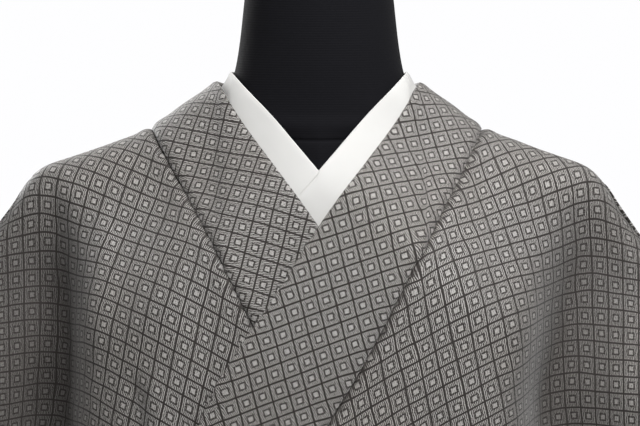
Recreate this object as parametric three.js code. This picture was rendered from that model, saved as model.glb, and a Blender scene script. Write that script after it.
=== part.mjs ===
import * as THREE from 'three';

// Kimono worn left over right on a limbless dress form, about 1.65 m tall.
// Millimetres. +Z is up, the front faces -Y and +X is the wearer's left.
// The origin lies on the floor under the middle of the round base.

// Driving dimensions
const clothThickness = 1.6;
const collarThickness = 3.6;
const innerCollarThickness = 1.6;
const layerStep = 5.6;
const innerCollarDepth = 6.2;
const innerCollarStep = 3;
const innerCollarWidth = 45;
const innerCollarTilt = 0.715;
const seamGap = 0.4;
const seatGap = 0.3;
const archHeight = 150;
const tubePower = 2.3;
const tubeTop = 1300;
const tubeStart = 1110;
const okumiKneeHeight = 1095;
const okumiSeamOffset = 25;
const tieHeight = 1070;
const tieWidth = 50;
const tieThickness = 2;
const knotDepth = 9;
const tieLift = 11;
const tieBackLift = 2.4;
const underlapShare = 0.8;
const poleRadius = 15;
const baseRadius = 180;
const baseThickness = 22;
const leftStretch = 0.025;
const armholeGap = { x: 0.35, z: -0.3 };
const sleeveShape = { round: 20, half: 15, full: 5, hem: 1.2, wave: 13, waves: 3.1, phase: 0.25 };
const sleeveBlend = 0.4;
const sleeveMouth = 5;

// Grid densities
const bodyColumns = 11;
const sleeveColumns = 8;
const okumiColumns = 5;
const collarColumns = 3;
const formSides = 28;
const tieSides = 56;

const colours = {
  cloth: 0x78736c,
  innerCollar: 0xf2f1ea,
  form: 0x1c1c20,
  metal: 0x2a2a2c,
};

// Named columns of a short table, read row by row
function table(names, rows) {
  const columns = {};
  names.split(' ').forEach((name, index) => {
    columns[name] = rows.map((row) => row[index]);
  });
  return columns;
}

// The ridge runs from the neck over the shoulder tip and down the sleeve fold
const ridge = table('out height y thickness round depth', [
  [0, 1600, 4, 40, 38, 60],
  [40, 1567, 4, 40, 38, 60],
  [69, 1541, 4, 40, 38, 60],
  [76, 1530.5, 5, 40, 38, 60],
  [100, 1512, 6, 39, 38, 60],
  [122, 1496, 7, 38, 38, 60],
  [151, 1485, 7, 38, 38, 58],
  [179, 1475, 6, 35, 36, 55],
  [200, 1467, 5, 31, 34, 53],
  [212, 1457, 4, 28, 33, 52],
  [226, 1436, 3, 25, 32, 50],
  [260, 1388, -2, 20, 30, 46],
  [300, 1333, -8, 16, 26, 38],
  [350, 1258, -11, 14, 24, 28],
  [400, 1165, -13, 13, 23, 24],
  [452, 1025, -14, 12, 22, 22],
]);

// Depth of the chest and back below the shoulders, by height
const chest = table('height front back', [
  [1280, 118, 104],
  [1300, 118, 106],
  [1360, 114, 108],
  [1420, 104, 106],
  [1460, 96, 103],
  [1510, 84, 100],
  [1600, 72, 98],
]);

// Flat tube from the waist to the hem, by height
const tube = table('height halfWidth front back', [
  [40, 170, 122, 114],
  [400, 173, 122, 115],
  [700, 176, 121, 116],
  [900, 176, 118, 115],
  [960, 171, 112, 107],
  [1005, 160, 98, 88],
  [1040, 152, 93, 77.5],
  [1070, 150, 92, 76],
  [1100, 152, 93, 77.5],
  [1135, 162, 101, 84],
  [1190, 177, 110, 92],
  [1300, 190, 118, 100],
]);

// Deep fold from the armpit up towards the shoulder tip on each side
const armpitFold = table('height depth leftOut rightOut', [
  [1150, 22, 178, 172],
  [1230, 36, 177, 168],
  [1290, 40, 174, 166],
  [1330, 34, 169, 174],
  [1380, 24, 167, 186],
  [1420, 12, 168, 197],
  [1465, 0, 168, 204],
]);

// Front stations: collar seam, collar edge and the panel's outer edge
const frontRows = table('seamX seamZ edgeX edgeZ outX outZ bulge', [
  [122, 1496, 76, 1530.5, 300, 1333, 1],
  [106, 1464, 56.5, 1499, 289, 1317, 0.95],
  [91, 1435, 34.5, 1469, 277, 1301, 0.85],
  [75, 1404, 13, 1440, 264, 1284, 0.75],
  [60, 1374, -7, 1411, 251, 1266, 0.65],
  [44, 1343, -26, 1380, 239, 1247, 0.55],
  [28, 1314, -45, 1352, 227, 1227, 0.45],
  [13, 1289, -61, 1329, 216, 1206, 0.36],
  [0, 1266, -74, 1306, 206, 1185, 0.28],
]);

// Back stations from the shoulder to the nape
const backRows = table('seamX seamZ edgeX edgeZ outX outZ bulge', [
  [122, 1496, 76, 1530.5, 300, 1333, 1],
  [93, 1487, 58, 1532, 289, 1317, 0.95],
  [62, 1480, 38, 1533, 277, 1301, 0.85],
  [31, 1476, 19, 1533.5, 264, 1284, 0.75],
  [0, 1475, 0, 1534, 251, 1266, 0.65],
]);

// The body panel below those stations, front and back
const lowerFront = table('inZ outX outZ bulge', [
  [1215, 192, 1150, 0.15],
  [1165, 172, 1124, 0.05],
  [1120, 153, 1105, 0],
  [1095, 151.5, 1092, 0],
  [1070, 150, 1070, 0],
  [1045, 151.5, 1045, 0],
  [1000, 161, 1000, 0],
  [940, 173, 940, 0],
  [850, 176, 850, 0],
  [680, 176, 680, 0],
  [470, 174, 470, 0],
  [250, 172, 250, 0],
  [40, 170, 40, 0],
]);
const lowerBack = table('inZ outX outZ bulge', [
  [1450, 239, 1247, 0.55],
  [1420, 227, 1227, 0.45],
  [1382, 216, 1206, 0.36],
  [1340, 206, 1185, 0.28],
  [1262, 192, 1150, 0.15],
  [1190, 172, 1124, 0.05],
  [1125, 153, 1105, 0],
  [1095, 151.5, 1092, 0],
  [1070, 150, 1070, 0],
  [1045, 151.5, 1045, 0],
  [1000, 161, 1000, 0],
  [940, 173, 940, 0],
  [850, 176, 850, 0],
  [680, 176, 680, 0],
  [470, 174, 470, 0],
  [250, 172, 250, 0],
  [40, 170, 40, 0],
]);

// Front overlap below the collar start: collar seam and collar edge
const overlapRows = table('seamX seamZ edgeX edgeZ', [
  [-17, 1231, -92, 1266],
  [-36, 1188, -109, 1213],
  [-54, 1140, -124, 1158],
  [-68, 1095, -131, 1105],
  [-75, 1070, -135, 1077],
  [-81, 1045, -139, 1050],
  [-91, 1000, -150, 1006],
  [-106, 930, -163, 938],
  [-122, 850, -170, 859],
  [-136, 770, -173, 780],
]);
const frontEdge = table('edgeX edgeZ', [
  [-138, 680],
  [-140, 470],
  [-140, 250],
  [-139, 40],
]);

// White inner collar: its upper edge in front, from the neck side down
const innerCollarFront = table('edgeX edgeZ', [
  [69, 1541],
  [55, 1526],
  [37, 1507.5],
  [18, 1486],
  [-1, 1464],
  [-20, 1442],
  [-40, 1419],
]);
const innerCollarBack = table('edgeX edgeZ lowX lowZ', [
  [69, 1541, 103, 1511.5],
  [57, 1541.5, 80, 1503],
  [32, 1542, 45, 1500],
  [0, 1542, 0, 1499],
]);

// Sleeve below the ridge: wrist edge and the free edge next to the body
const wristEdge = table('along x z', [
  [0, 452, 1025],
  [0.25, 436, 915],
  [0.5, 412, 805],
  [0.75, 384, 695],
  [1, 352, 588],
]);
const freeEdge = table('x z', [
  [194, 1108],
  [198, 1050],
  [203, 975],
  [208, 900],
]);

// Dress form by height: half width, depths, middle and sharpness of the sides
const form = table('height halfWidth front back middle power', [
  [800, 152, 94, 90, 0, 2.2],
  [830, 156, 99, 94, 0, 2.2],
  [900, 158, 102, 96, 0, 2.2],
  [960, 152, 96, 86, 0, 2.2],
  [1070, 128, 74, 60, 0, 2.2],
  [1180, 140, 88, 72, 0, 2.2],
  [1300, 150, 98, 86, 0, 2.2],
  [1370, 156, 94, 86, 0, 2],
  [1410, 166, 84, 82, 1, 1.7],
  [1440, 184, 74, 76, 3, 1.4],
  [1456, 196, 68, 70, 4, 1.25],
  [1465, 192, 65, 67, 5, 1.2],
  [1473, 173, 63, 64, 5, 1.2],
  [1481, 152, 61, 62, 5, 1.25],
  [1489, 131, 58, 60, 4, 1.35],
  [1497, 108, 56, 58, 3, 1.6],
  [1507, 84, 52, 54, 2, 1.85],
  [1520, 70, 50, 51, 1, 2],
  [1547, 61.5, 49, 49, 0, 2],
  [1592, 56, 48, 49, 0, 2],
  [1632, 52, 46, 48, 0, 2],
  [1644, 48, 42, 44, 0, 2],
  [1650, 38, 33, 35, 0, 2],
]);

// Smooth value of a table column between its rows
function read(columns, key, column, at) {
  const xs = columns[key];
  const ys = columns[column];
  const last = xs.length - 1;
  if (at <= xs[0]) return ys[0];
  if (at >= xs[last]) return ys[last];
  let i = 0;
  while (xs[i + 1] < at) i += 1;
  const slope = (k) => (ys[k + 1] - ys[k]) / (xs[k + 1] - xs[k]);
  const tangent = (k) => {
    if (k === 0) return slope(0);
    if (k === last) return slope(last - 1);
    const before = slope(k - 1);
    const after = slope(k);
    return before * after <= 0 ? 0 : (2 * before * after) / (before + after);
  };
  const width = xs[i + 1] - xs[i];
  const t = (at - xs[i]) / width;
  const start = (1 + 2 * t) * (1 - t) ** 2 * ys[i] + t * (1 - t) ** 2 * width * tangent(i);
  const end = t * t * (3 - 2 * t) * ys[i + 1] + t * t * (t - 1) * width * tangent(i + 1);
  return start + end;
}

function smooth(t) {
  const c = Math.min(Math.max(t, 0), 1);
  return c * c * (3 - 2 * c);
}

function mix(from, to, t) {
  return from + (to - from) * t;
}

function ridgeAt(column, out) {
  return read(ridge, 'out', column, out);
}

function superellipse(out, halfWidth, power) {
  const ratio = Math.min(Math.abs(out) / halfWidth, 1);
  return (1 - ratio ** power) ** (1 / power);
}

// Soft folds that grow towards the hem
function hemRipple(x, height, face) {
  return 4 * smooth((1000 - height) / 600) * Math.cos(x / 26 + 0.9 * face);
}

function tubeDepth(face, x, height) {
  const shape = superellipse(x, read(tube, 'height', 'halfWidth', height), tubePower);
  const depth = read(tube, 'height', face < 0 ? 'front' : 'back', height);
  return Math.max(shape * (depth + hemRipple(x, height, face)), seamGap);
}

function armpitDip(face, side, out, height) {
  const centre = read(armpitFold, 'height', side < 0 ? 'leftOut' : 'rightOut', height);
  const width = out < centre ? 17 : 28;
  const share = face < 0 ? 1 : 0.6;
  const fall = Math.exp(-0.5 * ((out - centre) / width) ** 2);
  return share * read(armpitFold, 'height', 'depth', height) * fall;
}

// Distance of the cloth from the middle plane: face -1 is the front, 1 the back
function clothY(face, side, across, height) {
  const out = Math.abs(across);
  const drop = Math.max(ridgeAt('height', out) - height, 0);
  const thickness = ridgeAt('thickness', out);
  const arch = Math.sqrt(1 - (1 - Math.min(drop / ridgeAt('round', out), 1)) ** 2);
  const chestDepth = read(chest, 'height', face < 0 ? 'front' : 'back', height);
  const full = mix(chestDepth, ridgeAt('depth', out), smooth((out - 95) / 130));
  const outward = thickness * arch + (full - thickness) * smooth(drop / archHeight);
  const upper = ridgeAt('y', out) + face * (outward - armpitDip(face, side, out, height));
  const lower = face * tubeDepth(face, side * across, height);
  return mix(upper, lower, smooth((tubeTop - height) / (tubeTop - tubeStart)));
}

// The picture's left half is a little wider at the shoulder than the right
function stretchedX(side, across, height) {
  if (side > 0) return across;
  const grow = leftStretch * smooth((across - 76) / 46) * smooth((height - 1150) / 150);
  return side * across * (1 + grow);
}

function clothPoint(face, side, across, height) {
  const z = Math.min(height, ridgeAt('height', Math.abs(across)));
  return new THREE.Vector3(stretchedX(side, across, z), clothY(face, side, across, z), z);
}

// How far the upper front layer is lifted over the lower one
function overlapLift(side, across, height) {
  if (side < 0) return 0;
  const below = smooth((1500 - height) / 60);
  return layerStep * below * (1 - smooth((across - 138) / 30));
}

// Rows from the shoulder ridge down, with close rows round its curve
function withArchRows(rows) {
  const top = { ...rows[0], bow: 1 };
  const next = { ...rows[1], bow: 0 };
  const extra = [0.25, 0.5, 0.75].map((t) => {
    const share = 1 - Math.cos((t * Math.PI) / 2);
    return Object.fromEntries(Object.keys(top).map((key) => [key, mix(top[key], next[key], share)]));
  });
  return [top, ...extra, next, ...rows.slice(2)];
}

function rowsOf(columns) {
  const names = Object.keys(columns);
  return columns[names[0]].map((_, i) => Object.fromEntries(names.map((n) => [n, columns[n][i]])));
}

const shoulderFront = withArchRows(rowsOf(frontRows));
const shoulderBack = withArchRows(rowsOf(backRows));

// One line of points across a body panel, bowed like the ridge above it
function panelRow(face, side, row, gapIn) {
  const ridgeIn = frontRows.seamX[0];
  const ridgeOut = frontRows.outX[0];
  const points = [];
  for (let i = 0; i <= bodyColumns; i += 1) {
    const even = i / bodyColumns;
    const share = mix(Math.sin((even * Math.PI) / 2), even, smooth(row.bulge / 0.2));
    const over = mix(ridgeIn, ridgeOut, share);
    const chord = mix(frontRows.seamZ[0], frontRows.outZ[0], share);
    const bow = row.bulge * (ridgeAt('height', over) - chord);
    const across = mix(row.inX + gapIn, row.outX, share);
    points.push({ face, side, across, height: mix(row.inZ, row.outZ, share) + bow });
  }
  return points;
}

function bodySpots(side) {
  const collared = (row) => ({ ...row, inX: row.seamX, inZ: row.seamZ });
  const seamed = (row) => ({ ...row, inX: okumiSeam(row.inZ) });
  const centred = (row) => ({ ...row, inX: 0 });
  const front = [...shoulderFront.map(collared), ...rowsOf(lowerFront).map(seamed)];
  const back = [...shoulderBack.map(collared), ...rowsOf(lowerBack).map(centred)].slice(1);
  const frontSpots = front.map((row) => panelRow(-1, side, row, seamGap));
  const backSpots = back.map((row) => panelRow(1, side, row, seamGap / 2));
  return [...frontSpots.reverse(), ...backSpots];
}

// Okumi: the narrow front panel between the body panel and the collar
function okumiSpots(side) {
  const collarSeam = overlapFor(side).map((row) => [row.seamX + seamGap, row.seamZ]);
  const free = rowsOf(frontEdge).map((row) => [row.edgeX * underlap(side, row.edgeZ), row.edgeZ]);
  const first = overlapFor(side)[0];
  const tipDrop = 14;
  const start = frontRows.seamZ.at(-1);
  const tipX = (first.seamX * tipDrop) / (start - first.seamZ) + seamGap;
  const tip = [tipX, start - tipDrop];
  return [tip, ...collarSeam, ...free].reverse().map(([edgeX, height]) => {
    const joint = okumiSeam(height) - seamGap;
    const row = [];
    for (let i = 0; i <= okumiColumns; i += 1) {
      row.push({ face: -1, side, across: mix(edgeX, joint, i / okumiColumns), height });
    }
    return row;
  });
}

// The lower front layer reaches a little less far round than the upper one
function underlap(side, height) {
  const start = frontRows.seamZ.at(-1);
  return side < 0 ? mix(1, underlapShare, smooth((start - height) / 160)) : 1;
}

function overlapFor(side) {
  return rowsOf(overlapRows).map((row) => ({
    ...row,
    seamX: row.seamX * underlap(side, row.seamZ),
    edgeX: row.edgeX * underlap(side, row.seamZ),
  }));
}

// Where the okumi seam runs at a height: a straight slope, then straight down
function okumiSeam(height) {
  const start = frontRows.seamZ.at(-1);
  const share = Math.min((start - height) / (start - okumiKneeHeight), 1);
  return -okumiSeamOffset * share;
}

// One line of points across a collar band, bowed like the ridge near it
function bandRow(place, ends, bow, columns) {
  const lowRidge = ridgeAt('height', Math.abs(ends.lowX));
  const edgeRidge = ridgeAt('height', Math.abs(ends.edgeX));
  const row = [];
  for (let i = 0; i <= columns; i += 1) {
    const share = i / columns;
    const across = mix(ends.lowX, ends.edgeX, share);
    const sag = ridgeAt('height', Math.abs(across)) - mix(lowRidge, edgeRidge, share);
    row.push({ ...place, across, height: mix(ends.lowZ, ends.edgeZ, share) + bow * sag });
  }
  return row;
}

// Collar: one folded band from the left front over the nape to the right front
function collarSpots() {
  const half = (side) => {
    const front = [...shoulderFront, ...overlapFor(side)].map((row) => ({ row, face: -1 }));
    const back = shoulderBack.slice(1).map((row) => ({ row, face: 1 }));
    return [...front.reverse(), ...back].map(({ row, face }) => {
      const seamX = row.seamX - (face < 0 ? seamGap / 2 : 0);
      const seamZ = row.seamZ + (face > 0 ? seamGap : 0);
      const ends = { lowX: seamX, lowZ: seamZ, edgeX: row.edgeX, edgeZ: row.edgeZ };
      return bandRow({ face, side }, ends, row.bow ?? 0, collarColumns);
    });
  };
  return [...half(1), ...half(-1).reverse().slice(1)];
}

// Inner collar: the white band that shows inside the collar
function innerCollarSpots() {
  const front = withArchRows(rowsOf(innerCollarFront).map((row) => {
    const lowX = row.edgeX + innerCollarWidth * Math.cos(innerCollarTilt);
    const lowZ = row.edgeZ - innerCollarWidth * Math.sin(innerCollarTilt);
    return { ...row, lowX, lowZ };
  }));
  const back = withArchRows(rowsOf(innerCollarBack));
  const half = (side) => {
    const all = [...front.map((row) => ({ row, face: -1 })).reverse()];
    back.slice(1).forEach((row) => all.push({ row, face: 1 }));
    return all.map(({ row, face }) => bandRow({ face, side }, row, row.bow ?? 0, 2));
  };
  return [...half(1), ...half(-1).reverse().slice(1)];
}

// Sleeve: a folded sheet that hangs from the ridge beyond the armhole seam
function sleevePoints(side) {
  const attached = [...shoulderFront, rowsOf(lowerFront)[0]];
  const inner = attached.map((row) => [row.outX + armholeGap.x, row.outZ + armholeGap.z]);
  rowsOf(freeEdge).forEach((row) => inner.push([row.x, row.z]));
  const lengths = [0];
  inner.slice(1).forEach(([x, z], i) => {
    lengths.push(lengths[i] + Math.hypot(x - inner[i][0], z - inner[i][1]));
  });
  const total = lengths.at(-1);
  const layer = (face) => inner.map((start, k) => {
    const along = lengths[k] / total;
    const row = [];
    for (let i = 0; i <= sleeveColumns; i += 1) {
      row.push(sleevePoint(face, side, start, along, i / sleeveColumns, lengths[k]));
    }
    return row;
  });
  return [...layer(-1).reverse(), ...layer(1).slice(1)];
}

function sleevePoint(face, side, start, along, outward, distance) {
  const ridgeStart = frontRows.outX[0];
  const ridgeEnd = ridge.out.at(-1);
  const over = mix(ridgeStart, ridgeEnd, outward);
  const chord = mix(frontRows.outZ[0], ridge.height.at(-1), outward);
  const bow = (ridgeAt('height', over) - chord) * (1 - along);
  const across = mix(start[0], read(wristEdge, 'along', 'x', along), outward);
  const height = mix(start[1], read(wristEdge, 'along', 'z', along), outward) + bow;
  const { round, half, full, hem, wave, waves, phase } = sleeveShape;
  const arch = Math.sqrt(1 - (1 - Math.min(distance / round, 1)) ** 2);
  const taper = 1 - along ** 5;
  const apart = distance > 0 ? hem + (half + full * Math.sin(Math.PI * along)) * arch * taper : 0;
  const fold = wave * smooth(along * 1.3) * Math.sin(Math.PI * (waves * outward + phase));
  const own = ridgeAt('y', over) * (1 - 0.3 * along) + face * apart + fold;
  const joined = clothY(face, side, across, height);
  const nearest = face * Math.max(face * joined, sleeveMouth * smooth(along * 3));
  const y = mix(nearest, own, smooth(outward / sleeveBlend));
  return new THREE.Vector3(stretchedX(side, across, height), y, height);
}

// Outward direction at every point of a grid, from its neighbours
function gridNormals(points, sign, closed) {
  const rows = points.length;
  return points.map((row, i) => row.map((_, j) => {
    const columns = row.length;
    const left = closed ? (j + columns - 1) % columns : Math.max(j - 1, 0);
    const right = closed ? (j + 1) % columns : Math.min(j + 1, columns - 1);
    const acrossStep = row[right].clone().sub(row[left]);
    const alongStep = points[Math.min(i + 1, rows - 1)][j].clone().sub(points[Math.max(i - 1, 0)][j]);
    return acrossStep.cross(alongStep).multiplyScalar(sign).normalize();
  }));
}

// Closed solid between an outer and an inner copy of a grid of points
function sheetGeometry(points, thickness, sign, lift = () => 0, closed = false, known = null) {
  const normals = known ?? gridNormals(points, sign, closed);
  const rows = points.length;
  const columns = points[0].length;
  const positions = [];
  [0.5, -0.5].forEach((share) => {
    points.forEach((row, i) => row.forEach((point, j) => {
      const moved = point.clone().addScaledVector(normals[i][j], lift(i, j) + share * thickness);
      positions.push(moved.x, moved.y, moved.z);
    }));
  });
  const outer = (i, j) => i * columns + (j % columns);
  const inner = (i, j) => rows * columns + outer(i, j);
  const faces = [];
  const quad = (a, b, c, d) => faces.push(a, b, c, a, c, d);
  const cells = closed ? columns : columns - 1;
  for (let i = 0; i < rows - 1; i += 1) {
    for (let j = 0; j < cells; j += 1) {
      quad(outer(i, j), outer(i, j + 1), outer(i + 1, j + 1), outer(i + 1, j));
      quad(inner(i, j), inner(i + 1, j), inner(i + 1, j + 1), inner(i, j + 1));
    }
    if (!closed) {
      quad(outer(i, 0), outer(i + 1, 0), inner(i + 1, 0), inner(i, 0));
      quad(outer(i, cells), inner(i, cells), inner(i + 1, cells), outer(i + 1, cells));
    }
  }
  for (let j = 0; j < cells; j += 1) {
    quad(outer(0, j), inner(0, j), inner(0, j + 1), outer(0, j + 1));
    quad(outer(rows - 1, j), outer(rows - 1, j + 1), inner(rows - 1, j + 1), inner(rows - 1, j));
  }
  return closedGeometry(positions, sign > 0 ? faces : flipped(faces));
}

function flipped(faces) {
  const out = [];
  for (let i = 0; i < faces.length; i += 3) out.push(faces[i], faces[i + 2], faces[i + 1]);
  return out;
}

function closedGeometry(positions, faces) {
  const geometry = new THREE.BufferGeometry();
  geometry.setAttribute('position', new THREE.Float32BufferAttribute(positions, 3));
  geometry.setIndex(faces);
  geometry.computeVertexNormals();
  return geometry;
}

function named(name, geometry, colour, roughness, metalness = 0) {
  const material = new THREE.MeshStandardMaterial({ color: colour, roughness, metalness });
  const mesh = new THREE.Mesh(geometry, material);
  mesh.name = name;
  return mesh;
}

function clothMesh(name, geometry) {
  return named(name, geometry, colours.cloth, 0.85);
}

function placed(spots) {
  return spots.map((row) => row.map((s) => clothPoint(s.face, s.side, s.across, s.height)));
}

function frontLift(spots) {
  return (i, j) => {
    const spot = spots[i][j];
    return spot.face < 0 ? overlapLift(spot.side, spot.across, spot.height) : 0;
  };
}

function bodyPanel(name, side) {
  const spots = bodySpots(side);
  return clothMesh(name, sheetGeometry(placed(spots), clothThickness, side, frontLift(spots)));
}

// Outward direction of the cloth at a spot clear of the ridge
function spotNormal(spot) {
  const { face, side, across, height } = spot;
  const step = 0.5;
  const acrossStep = clothPoint(face, side, across + step, height);
  acrossStep.sub(clothPoint(face, side, across - step, height));
  const upStep = clothPoint(face, side, across, height + step);
  upStep.sub(clothPoint(face, side, across, height - step));
  return acrossStep.cross(upStep).multiplyScalar(side * -face).normalize();
}

function okumiPanel(name, side) {
  const spots = okumiSpots(side);
  const normals = spots.map((row) => row.map(spotNormal));
  const lift = frontLift(spots);
  return clothMesh(name, sheetGeometry(placed(spots), clothThickness, side, lift, false, normals));
}

function sleeve(name, side) {
  return clothMesh(name, sheetGeometry(sleevePoints(side), clothThickness, side));
}

function collar() {
  const spots = collarSpots();
  return clothMesh('collar', sheetGeometry(placed(spots), collarThickness, -1, frontLift(spots)));
}

function innerCollar() {
  const spots = innerCollarSpots();
  const lift = (i, j) => {
    const spot = spots[i][j];
    const under = spot.side < 0 && spot.face < 0 ? smooth((1520 - spot.height) / 50) : 0;
    const rise = j === 2 ? 2 * smooth((spot.height - 1495) / 30) : 0;
    return rise - innerCollarDepth - innerCollarStep * under;
  };
  const geometry = sheetGeometry(placed(spots), innerCollarThickness, -1, lift);
  return named('inner_collar', geometry, colours.innerCollar, 0.7);
}

// Flat waist tie, one ring round every layer
function waistTie() {
  const rows = [];
  [-0.5, 0, 0.5].forEach((share) => {
    const height = tieHeight + share * tieWidth;
    const row = [];
    for (let i = 0; i < tieSides; i += 1) {
      const angle = (2 * Math.PI * i) / tieSides;
      row.push(tiePoint(angle, height));
    }
    rows.push(row);
  });
  return clothMesh('waist_tie', sheetGeometry(rows, tieThickness, 1, () => 0, true));
}

function tiePoint(angle, height) {
  const face = Math.sin(angle) < 0 ? -1 : 1;
  const front = smooth(0.8 - 1.4 * Math.sin(angle));
  const lift = mix(tieBackLift, tieLift, front);
  const halfWidth = read(tube, 'height', 'halfWidth', height) + lift;
  const depth = read(tube, 'height', face < 0 ? 'front' : 'back', height) + lift;
  const c = Math.cos(angle);
  const s = Math.sin(angle);
  const power = 2 / tubePower;
  const x = halfWidth * Math.sign(c) * Math.abs(c) ** power;
  const y = depth * Math.sign(s) * Math.abs(s) ** power;
  return new THREE.Vector3(x, y, height);
}

// Small flat knot on the front of the tie
function tieKnot() {
  const geometry = new THREE.SphereGeometry(1, 14, 10);
  geometry.scale(24, knotDepth, 21);
  const tieFront = read(tube, 'height', 'front', tieHeight) + tieLift + tieThickness / 2;
  const mesh = clothMesh('tie_knot', geometry);
  mesh.position.set(0, -tieFront - knotDepth - seatGap, tieHeight);
  return mesh;
}

// Dress form: closed rings from the hips over the shoulders to the neck top
function dressForm() {
  const rings = rowsOf(form);
  const positions = [];
  rings.forEach((ring) => {
    for (let i = 0; i < formSides; i += 1) {
      const angle = (2 * Math.PI * i) / formSides;
      const c = Math.cos(angle);
      const s = Math.sin(angle);
      const power = 2 / ring.power;
      const depth = s < 0 ? ring.front : ring.back;
      positions.push(ring.halfWidth * Math.sign(c) * Math.abs(c) ** power);
      positions.push(ring.middle + depth * Math.sign(s) * Math.abs(s) ** power, ring.height);
    }
  });
  const faces = [];
  for (let k = 0; k < rings.length - 1; k += 1) {
    for (let i = 0; i < formSides; i += 1) {
      const next = (i + 1) % formSides;
      const a = k * formSides;
      const b = a + formSides;
      faces.push(a + i, a + next, b + next, a + i, b + next, b + i);
    }
  }
  const bottom = positions.length / 3;
  positions.push(0, 0, rings[0].height, 0, 0, rings.at(-1).height);
  const topStart = (rings.length - 1) * formSides;
  for (let i = 0; i < formSides; i += 1) {
    const next = (i + 1) % formSides;
    faces.push(bottom, next, i, bottom + 1, topStart + i, topStart + next);
  }
  return named('dress_form', closedGeometry(positions, faces), colours.form, 0.8);
}

function standPole() {
  const bottom = baseThickness + seatGap;
  const length = form.height[0] - seatGap - bottom;
  const geometry = new THREE.CylinderGeometry(poleRadius, poleRadius, length, 24);
  const mesh = named('stand_pole', geometry, colours.metal, 0.4, 0.8);
  mesh.rotation.x = Math.PI / 2;
  mesh.position.z = bottom + length / 2;
  return mesh;
}

function standBase() {
  const edge = 6;
  const profile = [
    new THREE.Vector2(0, 0),
    new THREE.Vector2(baseRadius, 0),
    new THREE.Vector2(baseRadius, baseThickness - edge),
    new THREE.Vector2(baseRadius - edge, baseThickness),
    new THREE.Vector2(0, baseThickness),
  ];
  const geometry = new THREE.LatheGeometry(profile, 48);
  const mesh = named('stand_base', geometry, colours.metal, 0.4, 0.8);
  mesh.rotation.x = Math.PI / 2;
  return mesh;
}

const kimono = new THREE.Group();
kimono.add(
  bodyPanel('body_left', 1),
  bodyPanel('body_right', -1),
  okumiPanel('okumi_left', 1),
  okumiPanel('okumi_right', -1),
  sleeve('sleeve_left', 1),
  sleeve('sleeve_right', -1),
  collar(),
  innerCollar(),
  waistTie(),
  tieKnot(),
  dressForm(),
  standPole(),
  standBase(),
);

export default kimono;
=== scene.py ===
import math
from functools import partial

import bmesh
import bpy
import numpy as np
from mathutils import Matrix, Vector


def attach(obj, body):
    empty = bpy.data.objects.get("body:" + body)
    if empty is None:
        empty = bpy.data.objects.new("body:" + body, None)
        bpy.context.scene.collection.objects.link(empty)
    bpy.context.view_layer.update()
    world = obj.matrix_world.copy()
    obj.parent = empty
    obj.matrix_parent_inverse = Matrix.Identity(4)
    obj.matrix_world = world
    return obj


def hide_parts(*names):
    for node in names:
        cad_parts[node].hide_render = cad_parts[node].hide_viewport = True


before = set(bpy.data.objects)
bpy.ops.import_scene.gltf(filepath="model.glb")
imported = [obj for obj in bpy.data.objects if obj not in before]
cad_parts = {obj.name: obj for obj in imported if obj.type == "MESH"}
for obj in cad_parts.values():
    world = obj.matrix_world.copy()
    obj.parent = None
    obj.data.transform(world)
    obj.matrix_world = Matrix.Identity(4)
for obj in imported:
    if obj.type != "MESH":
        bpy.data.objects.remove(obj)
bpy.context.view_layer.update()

bl_info = {
    "name": "Kimono on dress form",
    "version": (1, 0, 0),
    "blender": (4, 2, 0),
    "location": "3D View > Sidebar > Kimono",
    "description": "Builds a kimono's cloth, collars, tie, dress form and studio round its frame",
    "category": "Add Mesh",
}

# Shape tables are in millimetres. +Z is up, the front faces -Y and +X is the wearer's left.
METRE = 0.001
BODY = "root"
UV_NAME = "cloth"
PAINTED_SHADE_NAME = "painted_shade"

LAYER_STEP = 5.6
INNER_COLLAR_DEPTH = 6.2
INNER_COLLAR_STEP = 3.0
INNER_COLLAR_WIDTH = 45.0
INNER_COLLAR_TILT = 0.715
INNER_COLLAR_MESH_STEP = 3.0
SEAM_GAP = 0.12
NAPE_GAP = 0.4
NAPE_WIDTH = 60.0
ARCH_HEIGHT = 150.0
TUBE_POWER = 2.3
TUBE_LEAST_DEPTH = 0.4
OKUMI_KNEE = 1095.0
OKUMI_OFFSET = 25.0
OKUMI_TIP_DROP = 14.0
OKUMI_ROWS = 230
SIDE_SEAM_TOP = 1125.0
TIE_HEIGHT = 1070.0
TIE_WIDTH = 50.0
TIE_THICKNESS = 2.0
TIE_LIFT = 11.0
TIE_BACK_LIFT = 2.4
TIE_HOLD = 0.85
TIE_REACH = 34.0
KNOT_SIZE = (24.0, 9.0, 21.0)
SEAT_GAP = 0.3
UNDERLAP_SHARE = 0.8
RIGHT_STRETCH = 0.025
ARMHOLE_GAP = (0.35, -0.3)
SLEEVE_BLEND = 0.4
SLEEVE_MOUTH = 5.0
SLEEVE_WAVE = 13.0
SLEEVE_LIFT_LIMIT = 3.5
CHEST_SLOPE = 20
SIDE_SLOPE = 54
NECK_SEAM = 1486.0
NECK_SEAM_RISE = 14.0
NECK_SEAM_DEPTH = 1.1
DEEP_SEAM_FOOT = 1130.0
LOW_SEAM_SHARE = 0.4
CALM_BELOW_RIDGE = 60.0
# These two are in metres
FLOOR_DROP = 0.0005
CAMERA_SHIFT = 0.0007

# Ripple at the hem: depth in mm, mm per turn and turn between front and back
HEM_RIPPLE = (4, 26, 0.9)
# Fold beside the arm: width of its sharp and soft inner slope and of its outer slope
ARMPIT_WIDTHS = (8.5, 15, 28)
ARMPIT_BACK_SHARE = 0.6
# Painted shade in the dip beside the arm: width inwards, width outwards and strength
ARM_PAINTED_SHADE_RIGHT = (8, 130, 1)
ARM_PAINTED_SHADE_LEFT = (24, 70, 0.85)
ARM_PAINTED_SHADE_BACK_SHARE = 0.5
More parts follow.
